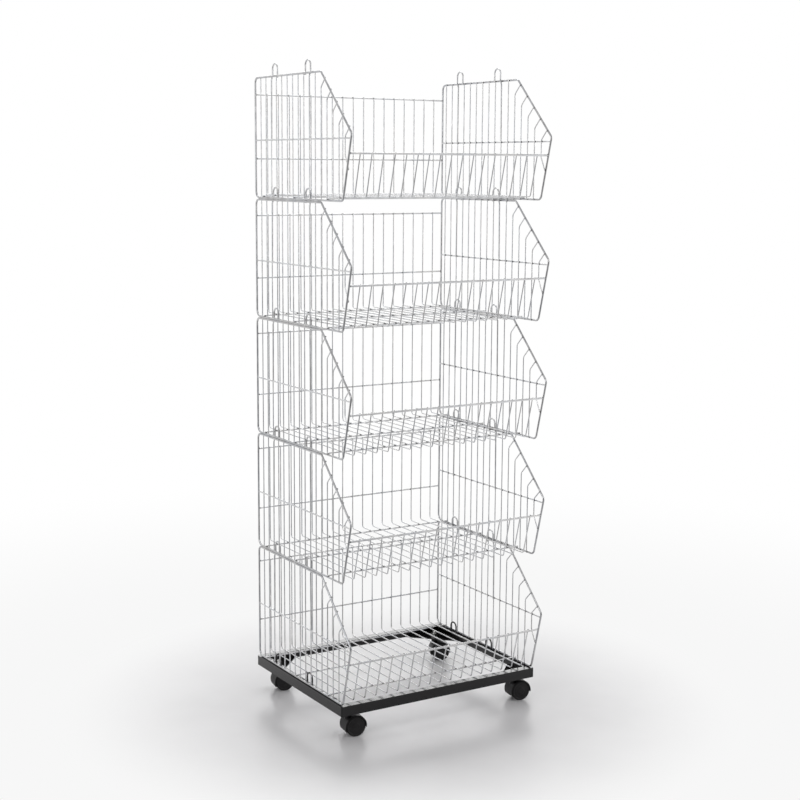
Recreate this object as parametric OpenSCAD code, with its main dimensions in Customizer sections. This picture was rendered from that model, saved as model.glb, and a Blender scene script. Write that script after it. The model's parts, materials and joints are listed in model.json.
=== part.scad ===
// Five-tier wire basket display rack on a swivel-caster base.
// Millimetres, +Z up, front of the rack towards -Y, origin on the floor under
// the middle of the rack's bounding box.

/* [Basket shape] */
// Basket width between the two side frames' wire centres
basket_w = 560; // [480:5:640]
// Height of the side frame between wire centres
basket_h = 294.7; // [280:0.1:310]
// Vertical distance from one basket to the next
tier_pitch = 300; // [286:0.1:318]
// Depth of the straight top rail of a side frame
top_depth = 342; // [330:1:350]
// Depth at the belly, the foremost point of a side frame
belly_depth = 485; // [478:1:492]
// Depth of the bottom rail of a side frame
floor_depth = 446; // [442:1:452]
// Height of the belly point above the bottom rail
belly_z = 152; // [148:1:156]
// Height of the side mid rail above the bottom rail
mid_rail_z = 141.5; // [139:0.5:143]
// Height of the upper back rail above the bottom rail
back_top_z = 254; // [240:1:265]
// Height of the lower back rail above the bottom rail
back_mid_z = 96; // [80:1:120]
// Height of the front rail above the bottom rail
front_rail_z = 108; // [100:1:112]

/* [Wires] */
// Diameter of the side frame wire
frame_d = 5; // [4.8:0.1:5.2]
// Diameter of the rails and of the floor cross wires
rail_d = 4; // [3.8:0.1:4.2]
// Diameter of the infill and cage wires
wire_d = 3; // [2.8:0.1:3.2]
// Diameter of the stacking hook wire
hook_d = 4; // [3.8:0.1:4]
// Number of cage wires between the two side frames
cage_n = 17; // [13:1:19]
// Number of upright infill wires in a side panel
side_n = 16; // [16:1:16]
// Number of side infill wires that reach the top rail
side_straight_n = 11; // [11:1:11]
// Distance from the back of a side frame to its first infill wire
side_first = 22.9; // [22:0.1:24]
// Spacing of the side infill wires
side_pitch = 28.4; // [28.2:0.1:28.5]
// Height of a stacking hook's centre line above the top rail
hook_rise = 31; // [24:1:32]
// Width of a stacking hook between its leg centres
hook_span = 25.4; // [24:0.1:26]

/* [Base] */
// Height of the base's angle section
angle_w = 25; // [22:1:30]
// Width of the base's top flange
flange_w = 20; // [18:1:24]
// Thickness of the base's angle section
angle_t = 3; // [2:0.5:4]
// How far the base stands out past the side frame centre line
base_margin = 6; // [5:0.5:8]
// Leg length of a corner plate, from the outer corner of the base
plate_leg = 110; // [95:1:125]
// Inset of a caster stem from the outer faces of the base
stem_inset = 39; // [36:0.5:44]

/* [Casters] */
// Wheel diameter
wheel_d = 50; // [48:1:50]
// Tread width of one wheel
wheel_w = 13.5; // [12:0.5:14]
// Height from the floor to the mounting plate
caster_h = 64; // [64:1:70]
// Horizontal distance from the stem to the wheel centre
trail = 15; // [12:1:16]
// Heading of the front left caster, in degrees about the stem
heading_front_left = -8; // [-60:1:60]
// Heading of the front right caster, in degrees about the stem
heading_front_right = -8; // [-60:1:60]
// Heading of the rear left caster, in degrees about the stem
heading_rear_left = -10; // [-60:1:60]
// Heading of the rear right caster, in degrees about the stem
heading_rear_right = -24; // [-60:1:60]

/* [Hidden] */

$fn = 48;
weld = 0.4;                         // bite of one wire into the next at a weld
gap = 0.3;                          // air between two stacked baskets
half_w = basket_w / 2;
base_x = half_w + base_margin;      // outer face of the base, left and right
base_back = 4;                      // outer face of the base, back
base_front = -floor_depth - 4;      // outer face of the base, front
base_top = caster_h + angle_w;
z_first = base_top + gap + frame_d / 2;
stem_x = base_x - stem_inset;
stem_back = base_back - stem_inset;
stem_front = base_front + stem_inset;

// caster sizes
wheel_r = wheel_d / 2;
spine_w = 13;                       // hood's middle web between the wheels
wheel_y0 = spine_w / 2 + 0.5;       // inner face of a wheel
fender_r0 = wheel_r + 1.2;
fender_r = wheel_r + 3;
fender_half = wheel_y0 + wheel_w + 0.5;
axle_r = 3;
stem_r = 4;
thread_r = 5;

// corners and bend radii of a side frame, in (y, z)
side_pts = [[0, 0], [0, basket_h], [-top_depth, basket_h], [-belly_depth, belly_z], [-floor_depth, 0]];
side_rad = [16, 13, 7, 12, 13];

// the rack's box is centred on the origin
function reach(h) = (trail + fender_r) * cos(h) + (fender_half - 0.9) * abs(sin(h));
box_right = max(base_x, stem_x + reach(heading_front_right), stem_x + reach(heading_rear_right));
box_front = bend_centre(side_pts[2], side_pts[3], side_pts[4], side_rad[3])[0] - side_rad[3] - frame_d / 2;
shift = [-(box_right - base_x) / 2, -(box_front + base_back) / 2, 0];

// wire layers, measured inwards from the side frame's plane
infill_x = half_w - frame_d / 2 - wire_d / 2 + weld;
mid_x = infill_x + wire_d / 2 + rail_d / 2 - weld + 0.1;
hook_x = infill_x - wire_d / 2 - hook_d / 2 - 0.4;
cross_z = frame_d / 2 + rail_d / 2 - weld;
cage_z = cross_z + rail_d / 2 + wire_d / 2 - weld;
cage_y = -(rail_d / 2 + wire_d / 2 - weld);
cage_pitch = basket_w / (cage_n + 1);
cage_bend = 7;

// front edge of the side frame as a line in (y, z)
function front_y(z) = -(floor_depth + (belly_depth - floor_depth) * z / belly_z);
// diagonal edge of the side frame as a line in (y, z)
function diag_z(y) = basket_h - (-y - top_depth) * (basket_h - belly_z) / (belly_depth - top_depth);
front_dir = [-(belly_depth - floor_depth), belly_z] / norm([belly_depth - floor_depth, belly_z]);
front_in = [front_dir[1], -front_dir[0]];
cage_front_off = frame_d / 2 + wire_d / 2 - weld;
// where the cage wire's floor line meets its front line
cage_foot = [-floor_depth + cage_front_off * front_in[0]
             + front_dir[0] * (cage_z - cage_front_off * front_in[1]) / front_dir[1], cage_z];
cage_turn = acos(-front_dir[0]);
cage_run = cage_bend * tan(cage_turn / 2);
floor_y0 = cage_y - cage_bend;
floor_y1 = cage_foot[0] + cage_run;
cross_rows = [-44, -207, -374];
infill_y = [for (i = [0 : side_n - 1]) -(side_first + i * side_pitch)];
tail = 21;                          // run of a bent infill tip
hook_at = [2, 9];                   // infill wires whose upper run is a hook's long leg
hook_rows = [[infill_y[hook_at[0]] - 1.3, -1], [infill_y[hook_at[1]] + 1.5, 1]];
leg_x = half_w - frame_d / 2 - hook_d / 2 + 0.3;
crank = [basket_h - 8.7, basket_h + 3.3];
hook_base = basket_h + hook_rise - hook_span / 2;

steel = [0.80, 0.81, 0.83];
steel_dark = [0.62, 0.63, 0.66];
black = [0.08, 0.08, 0.09];
plastic = [0.05, 0.05, 0.055];
zinc = [0.72, 0.73, 0.74];

// straight round wire between two points
module rod(a, b, d) {
  v = b - a;
  l = norm(v);
  translate(a) rotate([0, acos(v[2] / l), atan2(v[1], v[0])]) cylinder(h = l, d = d);
}

// unit vector
function unit(v) = v / norm(v);
// turn at corner b of a path, in degrees
function turn_at(a, b, c) = acos(unit(b - a) * unit(c - b));
// length taken off each leg by a bend of radius r
function cut_at(a, b, c, r) = r * tan(turn_at(a, b, c) / 2);
function cross2(a, b) = a[0] * b[1] - a[1] * b[0];
function bend_side(a, b, c) = sign(cross2(b - a, c - b));
function bend_start(a, b, c, r) = b - unit(b - a) * cut_at(a, b, c, r);
// centre of the bend of radius r at corner b
function bend_centre(a, b, c, r) =
  bend_start(a, b, c, r) + [-unit(b - a)[1], unit(b - a)[0]] * bend_side(a, b, c) * r;

// round wire bend of radius r at corner b, in the (y, z) plane at x
module bend_yz(x, a, b, c, r, d) {
  t = turn_at(a, b, c);
  p = bend_start(a, b, c, r);
  s = bend_side(a, b, c);
  m = bend_centre(a, b, c, r);
  start = atan2(p[1] - m[1], p[0] - m[0]);
  translate([x, m[0], m[1]]) rotate([90, 0, 90])
    rotate([0, 0, s > 0 ? start : start - t])
      rotate_extrude(angle = t, $fn = 64) translate([r, 0]) circle(d = d + 0.02);
}

// straight leg from the bend at corner b to the bend at corner c; its ends
// reach 0.2 into the bends, which are a hair thicker
module leg_yz(x, a, b, c, e, rb, rc, d) {
  p = b + unit(c - b) * (rb > 0 ? cut_at(a, b, c, rb) - 0.2 : 0);
  q = c - unit(c - b) * (rc > 0 ? cut_at(b, c, e, rc) - 0.2 : 0);
  rod([x, p[0], p[1]], [x, q[0], q[1]], d);
}

// closed wire loop of a basket side
module side_frame(side) {
  n = len(side_pts);
  color(steel)
    for (i = [0 : n - 1]) {
      a = side_pts[(i + n - 1) % n];
      b = side_pts[i];
      c = side_pts[(i + 1) % n];
      e = side_pts[(i + 2) % n];
      bend_yz(side * half_w, a, b, c, side_rad[i], frame_d);
      leg_yz(side * half_w, a, b, c, e, side_rad[i], side_rad[(i + 1) % n], frame_d);
    }
}

// upright infill wires and mid rail of a basket side
module side_wires(side) {
  x = side * infill_x;
  color(steel) {
    rod([side * mid_x, -0.5, mid_rail_z], [side * mid_x, front_y(mid_rail_z) + 1.6, mid_rail_z], rail_d);
    for (i = [0 : side_straight_n - 1])
      rod([x, infill_y[i], -1],
          [x, infill_y[i], i == hook_at[0] || i == hook_at[1] ? mid_rail_z + 1 : basket_h + 1], wire_d);
    for (i = [side_straight_n : side_n - 1]) {
      y = infill_y[i];
      tip = [y - tail, diag_z(y - tail)];
      knee = [y, tip[1] - tail];
      low = i == side_n - 1 ? [y, 103] : [y, -1];
      bend_yz(x, low, knee, tip + [-1, 1], 12, wire_d);
      leg_yz(x, low, low, knee, tip, 0, 12, wire_d);
      leg_yz(x, low, knee, tip + [-1, 1], tip, 12, 0, wire_d);
      if (i == side_n - 1) {
        foot = [front_y(72) - 0.5, 71];
        bend_yz(x, knee, low, foot, 12, wire_d);
        leg_yz(x, knee, low, foot, foot, 12, 0, wire_d);
      }
    }
  }
}

// back rails and the cage wires' back legs
module back_grid() {
  color(steel) {
    for (z = [back_top_z, back_mid_z])
      rod([-half_w + 1, 0, z], [half_w - 1, 0, z], rail_d);
    for (j = [1 : cage_n]) {
      x = -half_w + j * cage_pitch;
      rod([x, cage_y, cage_z + cage_bend - 0.2], [x, cage_y, back_top_z + 2.5], wire_d);
      bend_yz(x, [cage_y, back_top_z], [cage_y, cage_z], [cage_y - 60, cage_z], cage_bend, wire_d);
    }
  }
}

// floor cross wires and the cage wires' floor runs
module floor_grid() {
  color(steel) {
    for (y = cross_rows)
      rod([-half_w - 2.5, y, cross_z], [half_w + 2.5, y, cross_z], rail_d);
    for (j = [1 : cage_n]) {
      x = -half_w + j * cage_pitch;
      rod([x, floor_y0, cage_z], [x, floor_y1, cage_z], wire_d);
    }
  }
}

// front rail and the cage wires' front legs
module front_grid() {
  top = cage_foot + front_dir * ((front_rail_z + 3 - cage_z) / front_dir[1]);
  color(steel) {
    rod([-half_w + 1, front_y(front_rail_z), front_rail_z],
        [half_w - 1, front_y(front_rail_z), front_rail_z], frame_d);
    for (j = [1 : cage_n]) {
      x = -half_w + j * cage_pitch;
      bend_yz(x, [floor_y1 + 10, cage_z], cage_foot, top, cage_bend, wire_d);
      leg_yz(x, [floor_y1 + 10, cage_z], cage_foot, top, top, cage_bend, 0, wire_d);
    }
  }
}

// one upside-down U of wire: long leg at y, short leg at y + dir * span
module hook(x, y, dir, long_z, short_z, top_z) {
  rod([x, y, long_z], [x, y, top_z], hook_d);
  rod([x, y + dir * hook_span, short_z], [x, y + dir * hook_span, top_z], hook_d);
  translate([x, y + dir * hook_span / 2, top_z - 0.1]) rotate([90, 0, 90])
    rotate_extrude(angle = 180, $fn = 64) translate([hook_span / 2, 0]) circle(d = hook_d + 0.02);
}

// hook of a basket side: its long leg runs in the infill's plane from the mid
// rail, in place of an infill wire, and cranks inwards at the top rail
module side_hook(side, foot_y, y, dir) {
  foot = [side * leg_x, foot_y, mid_rail_z - 3];
  low = [side * leg_x, y, crank[0]];
  high = [side * hook_x, y, crank[1]];
  rod(foot, low + unit(low - foot) * 0.5, hook_d);
  rod(low, high, hook_d + 0.02);
  hook(side * hook_x, y, dir, crank[1] - 0.5, basket_h - 3.5, hook_base);
  // weld beads to the top rail and to the infill wire beside the short leg
  bead(side, y, basket_h, hook_x + 0.7, half_w - frame_d / 2 + 0.4);
  bead(side, y + dir * (hook_span + 0.8), basket_h - 1.4, hook_x, infill_x);
}

// weld bead across from x0 to x1
module bead(side, y, z, x0, x1) {
  translate([side * x0, y, z]) rotate([0, side * 90, 0]) cylinder(h = x1 - x0, d = 3.2);
}

// four hooks that locate the next basket
module stacking_hooks() {
  color(steel)
    for (side = [-1, 1], i = [0, 1])
      side_hook(side, infill_y[hook_at[i]], hook_rows[i][0], hook_rows[i][1]);
}

// welded ring of angle section, flange on top, web outside
module base_frame() {
  color(black)
    difference() {
      union() {
        translate([-base_x + 4, base_front, caster_h])
          cube([2 * base_x - 8, base_back - base_front, angle_w]);
        translate([-base_x, base_front + 4, caster_h])
          cube([2 * base_x, base_back - base_front - 8, angle_w]);
        for (sx = [-1, 1], y = [base_front + 4, base_back - 4])
          translate([sx * (base_x - 4), y, caster_h]) cylinder(h = angle_w, r = 4.01);
      }
      translate([-base_x + angle_t, base_front + angle_t, caster_h - 1])
        cube([2 * (base_x - angle_t), base_back - base_front - 2 * angle_t, angle_w - angle_t + 1]);
      translate([-base_x + flange_w, base_front + flange_w, caster_h])
        cube([2 * (base_x - flange_w), base_back - base_front - 2 * flange_w, angle_w + 1]);
    }
}

// one corner plate, its outer corner at the origin, legs along +x and +y
module corner_plate() {
  t = angle_t - 0.3;
  difference() {
    linear_extrude(height = angle_t)
      polygon([[t, t], [plate_leg, t], [plate_leg, 6], [6, plate_leg], [t, plate_leg]]);
    translate([stem_inset, stem_inset, -1]) cylinder(h = angle_t + 2, r = thread_r + 0.1);
  }
}
module base_corner_plates() {
  color(black)
    for (sx = [-1, 1]) {
      translate([sx * base_x, base_front, caster_h]) mirror([sx > 0 ? 1 : 0, 0, 0]) corner_plate();
      translate([sx * base_x, base_back, caster_h]) mirror([0, 1, 0]) mirror([sx > 0 ? 1 : 0, 0, 0]) corner_plate();
    }
}

// four hooks on the base that locate the lowest basket
module base_hooks() {
  color(black)
    for (side = [-1, 1])
      for (r = hook_rows)
        hook(side * hook_x, r[0], r[1], base_top - weld, base_top - weld,
             z_first - tier_pitch + hook_base);
}

// stem with its collar, thread and nut, standing on the floor frame of a caster
module caster_stem() {
  translate([0, 0, 24]) cylinder(h = caster_h - 24, r = stem_r);
  translate([0, 0, caster_h - 3]) cylinder(h = 3, r = 8.5);
  translate([0, 0, caster_h - 0.5]) cylinder(h = 16.5, r = thread_r);
  translate([0, 0, caster_h + angle_t]) cylinder(h = 8, r = 17 / 2 / cos(30), $fn = 6);
}

// hood: middle web with stem socket, and a fender over both wheels
module hood() {
  color(plastic)
    difference() {
      union() {
        translate([trail, 0, wheel_r]) rotate([90, 0, 0])
          rotate([0, 0, -8]) rotate_extrude(angle = 213, $fn = 96)
            polygon([[fender_r0, -fender_half], [fender_r - 0.9, -fender_half], [fender_r, -fender_half + 0.9],
                     [fender_r, fender_half - 0.9], [fender_r - 0.9, fender_half], [fender_r0, fender_half]]);
        translate([0, spine_w / 2, 0]) rotate([90, 0, 0]) linear_extrude(height = spine_w)
          difference() {
            translate([trail, wheel_r]) circle(r = fender_r - 0.6, $fn = 96);
            translate([trail - 60, wheel_r - 72]) square([120, 60]);
          }
        difference() {
          translate([0, 0, wheel_r - 5]) cylinder(h = caster_h - 3.5 - wheel_r + 5, r = 8);
          for (s = [-1, 1])
            translate([trail, s * (spine_w / 2 + 10), wheel_r]) rotate([90, 0, 0])
              cylinder(h = 20, r = fender_r0 + 0.5, center = true);
        }
      }
      translate([0, 0, 23]) cylinder(h = 60, r = stem_r + 0.05);
      translate([trail, 20, wheel_r]) rotate([90, 0, 0]) cylinder(h = 40, r = axle_r);
    }
}

// fixed axle across both wheels
module axle() {
  color(zinc) translate([trail, wheel_y0 + wheel_w - 3.5, wheel_r]) rotate([90, 0, 0])
    cylinder(h = 2 * (wheel_y0 + wheel_w - 3.5), r = axle_r);
}

// wheel with a blind bore, closed outer face on the side given
module wheel(side) {
  color(plastic) translate([trail, 0, wheel_r]) rotate([side > 0 ? -90 : 90, 0, 0])
    rotate_extrude($fn = 96) polygon([
      [axle_r + 0.05, wheel_y0], [wheel_r - 2, wheel_y0], [wheel_r, wheel_y0 + 1.5],
      [wheel_r, wheel_y0 + wheel_w - 2], [wheel_r - 1.5, wheel_y0 + wheel_w - 0.5],
      [wheel_r - 4, wheel_y0 + wheel_w - 0.5], [wheel_r - 5.5, wheel_y0 + wheel_w - 1.7],
      [10, wheel_y0 + wheel_w - 1.2], [8, wheel_y0 + wheel_w], [0, wheel_y0 + wheel_w],
      [0, wheel_y0 + wheel_w - 3], [axle_r + 0.05, wheel_y0 + wheel_w - 3]]);
}

// a caster's place on the base: left or right, front or back, and its heading
module at_caster(sx, back, heading) {
  translate(shift + [sx * stem_x, back ? stem_back : stem_front, 0])
    rotate([0, 0, heading]) children();
}
module at_tier(k) { translate(shift + [0, 0, z_first + (k - 1) * tier_pitch]) children(); }

translate(shift) base_frame();
translate(shift) base_corner_plates();
translate(shift) base_hooks();
color(zinc) {  // caster_stems
  at_caster(-1, false, 0) caster_stem();
  at_caster(1, false, 0) caster_stem();
  at_caster(-1, true, 0) caster_stem();
  at_caster(1, true, 0) caster_stem();
}
at_caster(-1, false, heading_front_left) hood();  // caster_fl_hood
at_caster(-1, false, heading_front_left) axle();  // caster_fl_axle
at_caster(-1, false, heading_front_left) wheel(-1);  // caster_fl_wheel_front
at_caster(-1, false, heading_front_left) wheel(1);  // caster_fl_wheel_rear
at_caster(1, false, heading_front_right) hood();  // caster_fr_hood
at_caster(1, false, heading_front_right) axle();  // caster_fr_axle
at_caster(1, false, heading_front_right) wheel(-1);  // caster_fr_wheel_front
at_caster(1, false, heading_front_right) wheel(1);  // caster_fr_wheel_rear
at_caster(-1, true, heading_rear_left) hood();  // caster_rl_hood
at_caster(-1, true, heading_rear_left) axle();  // caster_rl_axle
at_caster(-1, true, heading_rear_left) wheel(-1);  // caster_rl_wheel_front
at_caster(-1, true, heading_rear_left) wheel(1);  // caster_rl_wheel_rear
at_caster(1, true, heading_rear_right) hood();  // caster_rr_hood
at_caster(1, true, heading_rear_right) axle();  // caster_rr_axle
at_caster(1, true, heading_rear_right) wheel(-1);  // caster_rr_wheel_front
at_caster(1, true, heading_rear_right) wheel(1);  // caster_rr_wheel_rear
at_tier(1) side_frame(-1);  // basket1_side_frame_left
at_tier(1) side_frame(1);  // basket1_side_frame_right
at_tier(1) side_wires(-1);  // basket1_side_wires_left
at_tier(1) side_wires(1);  // basket1_side_wires_right
at_tier(1) back_grid();  // basket1_back_grid
at_tier(1) floor_grid();  // basket1_floor_grid
at_tier(1) front_grid();  // basket1_front_grid
at_tier(1) stacking_hooks();  // basket1_stacking_hooks
at_tier(2) side_frame(-1);  // basket2_side_frame_left
at_tier(2) side_frame(1);  // basket2_side_frame_right
at_tier(2) side_wires(-1);  // basket2_side_wires_left
at_tier(2) side_wires(1);  // basket2_side_wires_right
at_tier(2) back_grid();  // basket2_back_grid
at_tier(2) floor_grid();  // basket2_floor_grid
at_tier(2) front_grid();  // basket2_front_grid
at_tier(2) stacking_hooks();  // basket2_stacking_hooks
at_tier(3) side_frame(-1);  // basket3_side_frame_left
at_tier(3) side_frame(1);  // basket3_side_frame_right
at_tier(3) side_wires(-1);  // basket3_side_wires_left
at_tier(3) side_wires(1);  // basket3_side_wires_right
at_tier(3) back_grid();  // basket3_back_grid
at_tier(3) floor_grid();  // basket3_floor_grid
at_tier(3) front_grid();  // basket3_front_grid
at_tier(3) stacking_hooks();  // basket3_stacking_hooks
at_tier(4) side_frame(-1);  // basket4_side_frame_left
at_tier(4) side_frame(1);  // basket4_side_frame_right
at_tier(4) side_wires(-1);  // basket4_side_wires_left
at_tier(4) side_wires(1);  // basket4_side_wires_right
at_tier(4) back_grid();  // basket4_back_grid
at_tier(4) floor_grid();  // basket4_floor_grid
at_tier(4) front_grid();  // basket4_front_grid
at_tier(4) stacking_hooks();  // basket4_stacking_hooks
at_tier(5) side_frame(-1);  // basket5_side_frame_left
at_tier(5) side_frame(1);  // basket5_side_frame_right
at_tier(5) side_wires(-1);  // basket5_side_wires_left
at_tier(5) side_wires(1);  // basket5_side_wires_right
at_tier(5) back_grid();  // basket5_back_grid
at_tier(5) floor_grid();  // basket5_floor_grid
at_tier(5) front_grid();  // basket5_front_grid
at_tier(5) stacking_hooks();  // basket5_stacking_hooks
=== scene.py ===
import json
import math
import random

import bmesh
import bpy
from mathutils import Matrix, Vector


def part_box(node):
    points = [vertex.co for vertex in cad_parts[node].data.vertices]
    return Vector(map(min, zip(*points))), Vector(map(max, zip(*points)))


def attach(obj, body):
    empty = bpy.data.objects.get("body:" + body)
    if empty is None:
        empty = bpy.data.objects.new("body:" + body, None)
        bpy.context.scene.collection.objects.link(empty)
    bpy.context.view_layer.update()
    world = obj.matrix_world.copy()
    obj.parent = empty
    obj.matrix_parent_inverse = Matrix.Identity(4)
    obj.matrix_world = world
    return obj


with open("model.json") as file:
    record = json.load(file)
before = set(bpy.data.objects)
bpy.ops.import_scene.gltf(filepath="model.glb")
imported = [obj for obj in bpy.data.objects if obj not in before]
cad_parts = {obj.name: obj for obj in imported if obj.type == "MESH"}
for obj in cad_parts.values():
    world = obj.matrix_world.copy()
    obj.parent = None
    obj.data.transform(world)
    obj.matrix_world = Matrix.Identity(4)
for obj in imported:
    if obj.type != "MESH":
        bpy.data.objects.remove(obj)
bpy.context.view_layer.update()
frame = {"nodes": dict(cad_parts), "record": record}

scene = bpy.context.scene
scene.view_settings.view_transform = "Standard"
scene.view_settings.look = "None"
rng = random.Random(7)

# ---------------------------------------------------------------- the CAD's own sizes, in millimetres
lo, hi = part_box("base_frame")
SX = (lo.x + hi.x) * 500.0
SY = hi.y * 1000.0 - 4.0
Z_FIRST, TIER = 91.8, 300.0
HALF_W, CAGE_N, PITCH = 280.0, 17, 560.0 / 18
BASKET_H, TOP_D, BELLY_D, FLOOR_D, BELLY_Z = 294.7, 342.0, 485.0, 446.0, 152.0
MID_Z, BACK_TOP, BACK_MID, FRONT_Z = 141.5, 254.0, 96.0, 108.0
INFILL_X, MID_X, HOOK_X = 276.4, 279.6, 272.5
CROSS_Z, CAGE_Z, CAGE_Y = 4.1, 7.2, -3.1
INFILL_Y = [-(22.9 + 28.4 * i) for i in range(16)]
CROSS_ROWS = (-44.0, -207.0, -374.0)


def front_y(z):
    return -(FLOOR_D + (BELLY_D - FLOOR_D) * z / BELLY_Z)


def diag_z(y):
    return BASKET_H - (-y - TOP_D) * (BASKET_H - BELLY_Z) / (BELLY_D - TOP_D)


def W(x, y, z):
    """A point of the CAD's working axes, z above the floor, in the row frame in metres."""
    return Vector(((x + SX) / 1000.0, (y + SY) / 1000.0, z / 1000.0))


# ---------------------------------------------------------------- camera
yaw, pitch, roll = 0.5522, -0.1543, 0.0064
fwd = Vector((math.sin(yaw) * math.cos(pitch), math.cos(yaw) * math.cos(pitch), math.sin(pitch)))
right = Vector((math.cos(yaw), -math.sin(yaw), 0.0))
up = right.cross(fwd)
right2 = right * math.cos(roll) + up * math.sin(roll)
up2 = up * math.cos(roll) - right * math.sin(roll)
cam_data = bpy.data.cameras.new("camera")
cam_data.sensor_fit = "HORIZONTAL"
cam_data.sensor_width = 36.0
cam_data.lens = 1500.737 / 800.0 * 36.0
cam_data.clip_start = 0.05
cam_data.clip_end = 100.0
cam = bpy.data.objects.new("camera", cam_data)
scene.collection.objects.link(cam)
m = Matrix.Identity(4)
for i in range(3):
    m[i][0], m[i][1], m[i][2] = right2[i], up2[i], -fwd[i]
m.translation = W(-1974.965, -3449.209, 1278.609 + 91.8)
cam.matrix_world = m
scene.camera = cam


# ---------------------------------------------------------------- materials
class Mat:
    """A node material around one Principled shader."""

    def __init__(self, name, roughness=0.4, metallic=0.0, specular=0.5, coat=0.0):
        self.mat = bpy.data.materials.new(name)
        self.mat.use_nodes = True
        self.nt = self.mat.node_tree
        self.bsdf = self.nt.nodes["Principled BSDF"]
        self.bsdf.inputs["Metallic"].default_value = metallic
        self.bsdf.inputs["Roughness"].default_value = roughness
        self.bsdf.inputs["Specular IOR Level"].default_value = specular
        self.bsdf.inputs["Coat Weight"].default_value = coat
        self.coords = self.nt.nodes.new("ShaderNodeTexCoord").outputs["Object"]

    def noise(self, scale, detail=3.0, rough=0.55, stretch=None, kind="noise"):
        src = self.coords
        if stretch:
            mp = self.nt.nodes.new("ShaderNodeMapping")
            mp.inputs["Scale"].default_value = stretch
            self.nt.links.new(src, mp.inputs["Vector"])
            src = mp.outputs["Vector"]
        n = self.nt.nodes.new("ShaderNodeTexNoise" if kind == "noise" else "ShaderNodeTexVoronoi")
        n.inputs["Scale"].default_value = scale
        if kind == "noise":
            n.inputs["Detail"].default_value = detail
            n.inputs["Roughness"].default_value = rough
        self.nt.links.new(src, n.inputs["Vector"])
        return n.outputs["Fac"] if kind == "noise" else n.outputs["Distance"]

    def ramp(self, src, stops):
        r = self.nt.nodes.new("ShaderNodeValToRGB")
        els = r.color_ramp.elements
        while len(els) < len(stops):
            els.new(0.5)
        for e, (p, c) in zip(els, stops):
            e.position = p
            e.color = c if len(c) == 4 else (*c, 1.0)
        self.nt.links.new(src, r.inputs["Fac"])
        return r.outputs["Color"]

    def span(self, src, a, b, lo=0.3, hi=0.7):
        n = self.nt.nodes.new("ShaderNodeMapRange")
        n.inputs["From Min"].default_value = lo
        n.inputs["From Max"].default_value = hi
        n.inputs["To Min"].default_value = a
        n.inputs["To Max"].default_value = b
        self.nt.links.new(src, n.inputs["Value"])
        return n.outputs["Result"]

    def mix(self, fac, a, b, mode="MIX"):
        n = self.nt.nodes.new("ShaderNodeMix")
        n.data_type = "RGBA"
        n.blend_type = mode
        for sock, v in ((n.inputs["Factor"], fac), (n.inputs["A"], a), (n.inputs["B"], b)):
            if isinstance(v, bpy.types.NodeSocket):
                self.nt.links.new(v, sock)
            elif isinstance(v, (int, float)):
                sock.default_value = v
            else:
                sock.default_value = (*v, 1.0)
        return n.outputs["Result"]

    def add(self, a, b, wa=1.0, wb=1.0):
        outs = []
        for v, w in ((a, wa), (b, wb)):
            n = self.nt.nodes.new("ShaderNodeMath")
            n.operation = "MULTIPLY"
            n.inputs[1].default_value = w
            self.nt.links.new(v, n.inputs[0])
            outs.append(n.outputs[0])
        n = self.nt.nodes.new("ShaderNodeMath")
        n.operation = "ADD"
        self.nt.links.new(outs[0], n.inputs[0])
        self.nt.links.new(outs[1], n.inputs[1])
        return n.outputs[0]

    def bump(self, height, strength, distance):
        n = self.nt.nodes.new("ShaderNodeBump")
        n.inputs["Strength"].default_value = strength
        n.inputs["Distance"].default_value = distance
        self.nt.links.new(height, n.inputs["Height"])
        self.nt.links.new(n.outputs["Normal"], self.bsdf.inputs["Normal"])

    def color(self, src):
        self.nt.links.new(src, self.bsdf.inputs["Base Color"])

    def rough(self, src):
        self.nt.links.new(src, self.bsdf.inputs["Roughness"])


def zinc_wire(name, dark, light, seed):
    """Drawn wire under bright zinc plate: cloudy haze, fine die lines and faint water marks."""
    k = Mat(name, metallic=1.0)
    cloud = k.noise(38.0 + seed, 4.0, 0.6)
    blot = k.noise(9.0 + seed, 2.0)
    tone = k.ramp(cloud, [(0.32, dark), (0.52, tuple((a + b) / 2 for a, b in zip(dark, light))), (0.72, light)])
    warm = k.ramp(blot, [(0.35, (0.97, 0.985, 1.0)), (0.65, (1.0, 0.99, 0.97))])
    k.color(k.mix(1.0, tone, warm, "MULTIPLY"))
    fine = k.noise(900.0, 3.0, 0.6)
    k.rough(k.add(k.span(cloud, 0.12, 0.26), k.span(fine, -0.02, 0.03)))
    k.bump(k.add(fine, k.noise(260.0, 2.0), 0.6, 0.4), 0.10, 0.00012)
    return k.mat


def powder_black(name):
    """Black powder coat: orange peel, faint dust and rubbed patches."""
    k = Mat(name, specular=0.30, coat=0.30)
    k.bsdf.inputs["Coat Roughness"].default_value = 0.10
    k.bsdf.inputs["Coat IOR"].default_value = 1.5
    dust = k.noise(14.0, 5.0, 0.6)
    speck = k.noise(420.0, 2.0, 0.5)
    base = k.ramp(dust, [(0.30, (0.0035, 0.0032, 0.0036)), (0.62, (0.006, 0.0055, 0.006)), (0.80, (0.014, 0.013, 0.014))])
    grit = k.ramp(speck, [(0.66, (0.0, 0.0, 0.0)), (0.78, (0.030, 0.030, 0.031))])
    k.color(k.mix(0.5, base, grit, "ADD"))
    k.rough(k.span(dust, 0.16, 0.30))
    k.bump(k.add(k.noise(330.0, 2.0, 0.5), k.noise(90.0, 2.0), 0.7, 0.3), 0.08, 0.0003)
    return k.mat


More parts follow.
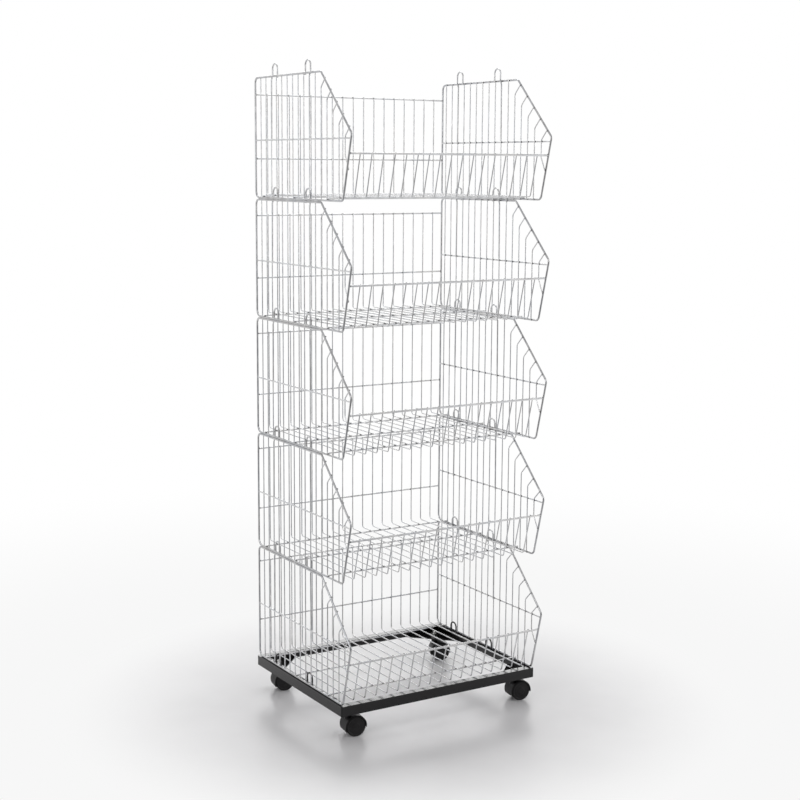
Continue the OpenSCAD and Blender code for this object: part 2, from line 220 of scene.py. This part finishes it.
def black_nylon(name, base, light, rough_lo, rough_hi):
    """Moulded black nylon: fine spark-erosion texture and slight scuffing."""
    k = Mat(name, specular=0.26)
    scuff = k.noise(75.0, 5.0, 0.65)
    k.color(k.ramp(scuff, [(0.35, base), (0.75, light)]))
    k.rough(k.span(scuff, rough_lo, rough_hi))
    k.bump(k.add(k.noise(1500.0, 2.0), k.noise(420.0, 2.0), 0.6, 0.4), 0.18, 0.0002)
    return k.mat


def zinc_part(name):
    k = Mat(name, metallic=1.0)
    cloud = k.noise(160.0, 4.0, 0.6)
    k.color(k.ramp(cloud, [(0.3, (0.58, 0.58, 0.57)), (0.7, (0.80, 0.80, 0.78))]))
    k.rough(k.span(cloud, 0.16, 0.34))
    k.bump(k.noise(1100.0, 3.0), 0.10, 0.0002)
    return k.mat


def weld_metal_and_crossing_shade(name):
    """A resistance weld under the plating: rougher than the wire, and darker partly as heat tint and partly as
    painted shade where the wires cross.
    """
    k = Mat(name, metallic=1.0)
    cloud = k.noise(520.0, 4.0, 0.65)
    k.color(k.ramp(cloud, [(0.30, (0.045, 0.042, 0.042)), (0.55, (0.10, 0.096, 0.095)), (0.78, (0.22, 0.22, 0.22))]))
    k.rough(k.span(cloud, 0.35, 0.6))
    k.bump(cloud, 0.5, 0.0004)
    return k.mat


# the three wire slots share one zinc plate; their different base tones (grid lightest, hook between, frame darkest)
# are painted light and painted shade, not a difference in the plating
MATS = {
    "frame_wire": zinc_wire("zinc_frame_wire", (0.46, 0.46, 0.475), (0.70, 0.70, 0.71), 0.0),
    "grid_wire": zinc_wire("zinc_grid_wire", (0.62, 0.62, 0.635), (0.86, 0.86, 0.87), 5.0),
    "hook_wire": zinc_wire("zinc_hook_wire", (0.56, 0.56, 0.57), (0.80, 0.80, 0.81), 9.0),
    "base_paint": powder_black("black_powder_coat"),
    "zinc_hardware": zinc_part("zinc_hardware"),
    "caster_hood": black_nylon("nylon_hood", (0.007, 0.0065, 0.007), (0.016, 0.015, 0.016), 0.34, 0.5),
    "caster_wheel": black_nylon("nylon_wheel", (0.012, 0.0115, 0.012), (0.026, 0.025, 0.026), 0.42, 0.6),
}
WELD_AND_CROSSING_SHADE = weld_metal_and_crossing_shade("weld_metal_and_crossing_shade")

slot_of = {s["node"]: s["material_slot"] for s in frame["record"]["subparts"]}
for name, obj in frame["nodes"].items():
    mat = MATS[slot_of[name]]
    if not obj.material_slots:
        obj.data.materials.append(mat)
    for s in obj.material_slots:
        s.material = mat


# ---------------------------------------------------------------- weld beads
ico_mesh = bmesh.new()
bmesh.ops.create_icosphere(ico_mesh, subdivisions=2, radius=1.0)
ICO_V = [v.co.copy() for v in ico_mesh.verts]
ICO_F = [[v.index for v in f.verts] for f in ico_mesh.faces]
ico_mesh.free()


class Blobs:
    """Many small uneven lumps of weld in one mesh."""

    def __init__(self):
        self.v, self.f = [], []

    def add(self, centre, radii, spread=0.12, turn=None):
        n0 = len(self.v)
        r = [a / 1000.0 * (1.0 + rng.uniform(-spread, spread)) for a in radii]
        ph = [rng.uniform(0, 6.28) for _ in range(3)]
        for c in ICO_V:
            w = 1.0 + 0.05 * math.sin(5.0 * c.x + ph[0]) + 0.05 * math.sin(6.0 * c.y + ph[1]) + 0.04 * math.sin(7.0 * c.z + ph[2])
            p = Vector((c.x * r[0] * w, c.y * r[1] * w, c.z * r[2] * w))
            if turn:
                p = turn @ p
            self.v.append(centre + p)
        self.f += [[n0 + i for i in f] for f in ICO_F]

    def build(self, name, body, mat):
        me = bpy.data.meshes.new(name)
        me.from_pydata([tuple(p) for p in self.v], [], self.f)
        me.update()
        for p in me.polygons:
            p.use_smooth = True
        ob = bpy.data.objects.new(name, me)
        scene.collection.objects.link(ob)
        ob.data.materials.append(mat)
        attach(ob, body)
        return ob


lean = math.atan2(BELLY_D - FLOOR_D, BELLY_Z)
TILT = Matrix.Rotation(lean, 3, "X")
# weld beads at every crossing; their dark colour is partly heat tint and partly painted shade of the crossing
for k in range(1, 6):
    z0 = Z_FIRST + (k - 1) * TIER
    b = Blobs()
    xs = [-HALF_W + j * PITCH for j in range(1, CAGE_N + 1)]
    for x in xs:
        for y in CROSS_ROWS:
            b.add(W(x, y, z0 + 5.7), (2.9, 2.9, 1.9))
        for z in (BACK_TOP, BACK_MID):
            b.add(W(x, -1.7, z0 + z), (2.6, 1.5, 2.5))
        fy = front_y(FRONT_Z)
        b.add(W(x, fy + 2.25 * math.cos(lean), z0 + FRONT_Z + 2.25 * math.sin(lean)), (2.5, 1.5, 2.7), turn=TILT)
    for s in (-1, 1):
        for i, y in enumerate(INFILL_Y):
            b.add(W(s * 277.9, y, z0 + MID_Z), (1.6, 2.5, 2.5))
            if i < 15:
                b.add(W(s * 277.8, y, z0 + 0.3), (1.5, 2.4, 2.2))
            if i < 11:
                b.add(W(s * 277.8, y, z0 + BASKET_H - 0.3), (1.5, 2.4, 2.2))
            else:
                b.add(W(s * 277.8, y - 21.0, z0 + diag_z(y - 21.0)), (1.5, 2.4, 2.4))
        b.add(W(s * 277.8, front_y(72.0), z0 + 72.0), (1.5, 2.4, 2.7))
        for y in CROSS_ROWS:
            b.add(W(s * 280.0, y, z0 + 2.3), (2.9, 2.7, 1.5))
        b.add(W(s * 277.2, front_y(FRONT_Z), z0 + FRONT_Z), (2.0, 2.9, 2.9))
        for z in (BACK_TOP, BACK_MID):
            b.add(W(s * 277.3, 0.0, z0 + z), (1.6, 2.4, 2.4))
    b.build("weld_beads_basket%d" % k, "basket%d" % k, WELD_AND_CROSSING_SHADE)

# stitch welds that hold the corner plates to the base's inner faces, painted over
b = Blobs()
for sx in (-1, 1):
    for back in (False, True):
        for run in ((14.0, 34.0), (58.0, 74.0), (88.0, 104.0)):
            t = run[0]
            while t < run[1]:
                yy = (4.0 - 3.0) if back else (-450.0 + 3.0)
                dy = -1.0 if back else 1.0
                b.add(W(sx * (286.0 - t), yy + dy * 0.9, 67.6), (1.7, 1.7, 1.5))
                b.add(W(sx * (286.0 - 3.9), (4.0 - t) if back else (-450.0 + t), 67.6), (1.7, 1.7, 1.5))
                t += 2.1
b.build("corner_plate_welds", "base", MATS["base_paint"])

# fillets at the feet of the base hooks
b = Blobs()
for s in (-1, 1):
    for y in (-81.0, -106.4, -277.0, -251.6):
        for q in range(10):
            a = q * math.tau / 10
            b.add(W(s * HOOK_X + 2.1 * math.cos(a), y + 2.1 * math.sin(a), 89.1), (1.0, 1.0, 0.9), 0.08)
b.build("base_hook_welds", "base", MATS["base_paint"])

# ---------------------------------------------------------------- floor and light
FLOOR_NEAR, FLOOR_FAR = 0.40, 0.88
FLOOR_TONE, FLOOR_AWAY_FROM_LIFT = 0.77, 0.80
SECTOR = (0.35, 0.80)
MIRROR_FLOOR, UNLIT_FLOOR = 0.92, 0.27
SKY, UNLIT_SKY, OVERHEAD, PANEL = 0.94, 0.24, -0.22, 3.4
MIRROR_NEAR = 0.90

bm = bmesh.new()
rings, seg = [0.0, 0.6, 1.2, 2.0, 3.0, 5.0, 9.0, 16.0, 30.0], 96
last = None
for r in rings:
    if r == 0.0:
        last = [bm.verts.new((0, 0, 0))] * seg
        continue
    cur = [bm.verts.new((r * math.cos(i * math.tau / seg), r * math.sin(i * math.tau / seg), 0)) for i in range(seg)]
    for i in range(seg):
        j = (i + 1) % seg
        if last[0] is last[1]:
            bm.faces.new((last[0], cur[i], cur[j]))
        else:
            bm.faces.new((last[i], cur[i], cur[j], last[j]))
    last = cur
me = bpy.data.meshes.new("floor")
bm.to_mesh(me)
bm.free()
floor = bpy.data.objects.new("floor", me)
scene.collection.objects.link(floor)
floor.location = (0.0, 0.0, -0.0002)


class Graph:
    """Short hand for value nodes in one node tree."""

    def __init__(self, tree):
        self.nt = tree
        for n in list(tree.nodes):
            tree.nodes.remove(n)

    def node(self, kind):
        return self.nt.nodes.new(kind)

    def put(self, v, sock):
        if isinstance(v, bpy.types.NodeSocket):
            self.nt.links.new(v, sock)
        else:
            sock.default_value = v

    def op(self, kind, a, b=0.0):
        n = self.node("ShaderNodeMath")
        n.operation = kind
        self.put(a, n.inputs[0])
        self.put(b, n.inputs[1])
        return n.outputs[0]

    def step(self, v, a, b, lo=0.0, hi=1.0):
        """Smooth step of v from a to b; a may be larger than b."""
        if a > b:
            a, b, lo, hi = b, a, hi, lo
        n = self.node("ShaderNodeMapRange")
        n.interpolation_type = "SMOOTHSTEP"
        for name, val in (("From Min", a), ("From Max", b), ("To Min", lo), ("To Max", hi)):
            n.inputs[name].default_value = val
        self.put(v, n.inputs["Value"])
        return n.outputs["Result"]

    def towards(self, xyz, heading):
        """Cosine between the level part of a vector and a heading."""
        flat = self.node("ShaderNodeVectorMath")
        flat.operation = "MULTIPLY"
        self.put(xyz, flat.inputs[0])
        flat.inputs[1].default_value = (1.0, 1.0, 0.0)
        unit = self.node("ShaderNodeVectorMath")
        unit.operation = "NORMALIZE"
        self.put(flat.outputs[0], unit.inputs[0])
        dot = self.node("ShaderNodeVectorMath")
        dot.operation = "DOT_PRODUCT"
        self.put(unit.outputs[0], dot.inputs[0])
        dot.inputs[1].default_value = heading
        return dot.outputs["Value"]

    def mix(self, fac, a, b):
        n = self.node("ShaderNodeMixShader")
        self.put(fac, n.inputs["Fac"])
        self.put(a, n.inputs[1])
        self.put(b, n.inputs[2])
        return n.outputs[0]


# the unlit end of the studio lies to the front left
UNLIT = (-0.524, -0.852, 0.0)

fm = bpy.data.materials.new("studio_floor")
fm.use_nodes = True
g = Graph(fm.node_tree)
tc = g.node("ShaderNodeTexCoord").outputs["Object"]
ln = g.node("ShaderNodeVectorMath")
ln.operation = "LENGTH"
g.put(tc, ln.inputs[0])
dist = ln.outputs["Value"]
far = g.step(dist, FLOOR_NEAR, FLOOR_FAR)
# painted light: the floor's own tone is brighter under the rack and falls to a lower factor further out, lightening
# the shade the rack casts there
painted_lift_under_rack = g.step(dist, 0.20, 0.42, 1.0, FLOOR_AWAY_FROM_LIFT)
noise = g.node("ShaderNodeTexNoise")
noise.inputs["Scale"].default_value = 5.0
noise.inputs["Detail"].default_value = 4.0
g.put(tc, noise.inputs["Vector"])
cr = g.node("ShaderNodeValToRGB")
cr.color_ramp.elements[0].position = 0.35
cr.color_ramp.elements[0].color = (0.97, 0.96, 0.975, 1)
cr.color_ramp.elements[1].position = 0.65
cr.color_ramp.elements[1].color = (1.03, 1.02, 1.035, 1)
g.put(noise.outputs["Fac"], cr.inputs["Fac"])
dif = g.node("ShaderNodeBsdfPrincipled")
dif.inputs["Roughness"].default_value = 0.30
dif.inputs["Specular IOR Level"].default_value = 0.35
tone = g.node("ShaderNodeVectorMath")
tone.operation = "SCALE"
g.put(cr.outputs["Color"], tone.inputs[0])
g.put(g.op("MULTIPLY", painted_lift_under_rack, FLOOR_TONE), tone.inputs["Scale"])
g.put(tone.outputs[0], dif.inputs["Base Color"])
em = g.node("ShaderNodeEmission")
em.inputs["Color"].default_value = (1, 1, 1, 1)
g.put(g.step(dist, 0.9, 2.8, 0.93, 1.0), em.inputs["Strength"])
seen = g.mix(far, dif.outputs["BSDF"], em.outputs["Emission"])
# what the wires mirror: bright all round, unlit towards the front left
sector = g.op("MULTIPLY", g.step(g.towards(tc, UNLIT), SECTOR[0], SECTOR[1]), g.step(dist, 0.45, 1.0))
em2 = g.node("ShaderNodeEmission")
lit = g.op("SUBTRACT", MIRROR_FLOOR, g.op("MULTIPLY", sector, MIRROR_FLOOR - UNLIT_FLOOR))
g.put(g.op("MULTIPLY", lit, g.step(dist, 1.5, 3.2, MIRROR_NEAR, 1.0)), em2.inputs["Strength"])
mirrored = g.mix(g.step(dist, 0.35, 0.8), dif.outputs["BSDF"], em2.outputs["Emission"])
lp = g.node("ShaderNodeLightPath")
out = g.node("ShaderNodeOutputMaterial")
g.put(g.mix(lp.outputs["Is Camera Ray"], mirrored, seen), out.inputs["Surface"])
me.materials.append(fm)

world = bpy.data.worlds.new("studio")
scene.world = world
world.use_nodes = True
g = Graph(world.node_tree)
tc = g.node("ShaderNodeTexCoord").outputs["Generated"]
sep = g.node("ShaderNodeSeparateXYZ")
g.put(tc, sep.inputs[0])
up_z = sep.outputs["Z"]
ahead = g.towards(tc, UNLIT)
unlit = g.op("MULTIPLY", g.step(ahead, SECTOR[0], SECTOR[1]), g.step(up_z, 0.75, 0.35))
light = g.op("SUBTRACT", SKY, g.op("MULTIPLY", unlit, SKY - UNLIT_SKY))
overhead = g.op("MULTIPLY", g.step(up_z, 0.45, 0.80), OVERHEAD)
panel = g.op("MULTIPLY", g.step(ahead, -0.86, -0.96), g.op("MULTIPLY", g.step(up_z, 0.22, 0.28), g.step(up_z, 0.44, 0.37)))
bg_light = g.node("ShaderNodeBackground")
g.put(g.op("ADD", light, g.op("ADD", overhead, g.op("MULTIPLY", panel, PANEL))), bg_light.inputs["Strength"])
bg_white = g.node("ShaderNodeBackground")
bg_white.inputs["Color"].default_value = (1, 1, 1, 1)
bg_white.inputs["Strength"].default_value = 1.0
lp = g.node("ShaderNodeLightPath")
out = g.node("ShaderNodeOutputWorld")
g.put(g.mix(lp.outputs["Is Camera Ray"], bg_light.outputs[0], bg_white.outputs[0]), out.inputs["Surface"])


def softbox(name, at, aim, size, power, tint=(1, 1, 1)):
    d = bpy.data.lights.new(name, "AREA")
    d.shape = "RECTANGLE"
    d.size, d.size_y = size
    d.energy = power
    d.color = tint
    o = bpy.data.objects.new(name, d)
    scene.collection.objects.link(o)
    o.location = at
    o.rotation_euler = (Vector(aim) - Vector(at)).to_track_quat("-Z", "Y").to_euler()
    return o


softbox("top_softbox", (0.2, 0.9, 3.4), (0.0, 0.0, 0.6), (2.4, 1.6), 26.0)
softbox("left_softbox", (-3.0, -1.0, 2.0), (0.0, 0.0, 0.8), (1.2, 2.2), 24.0)
softbox("right_softbox", (3.0, -1.6, 1.8), (0.0, 0.0, 0.8), (0.8, 2.0), 12.0)
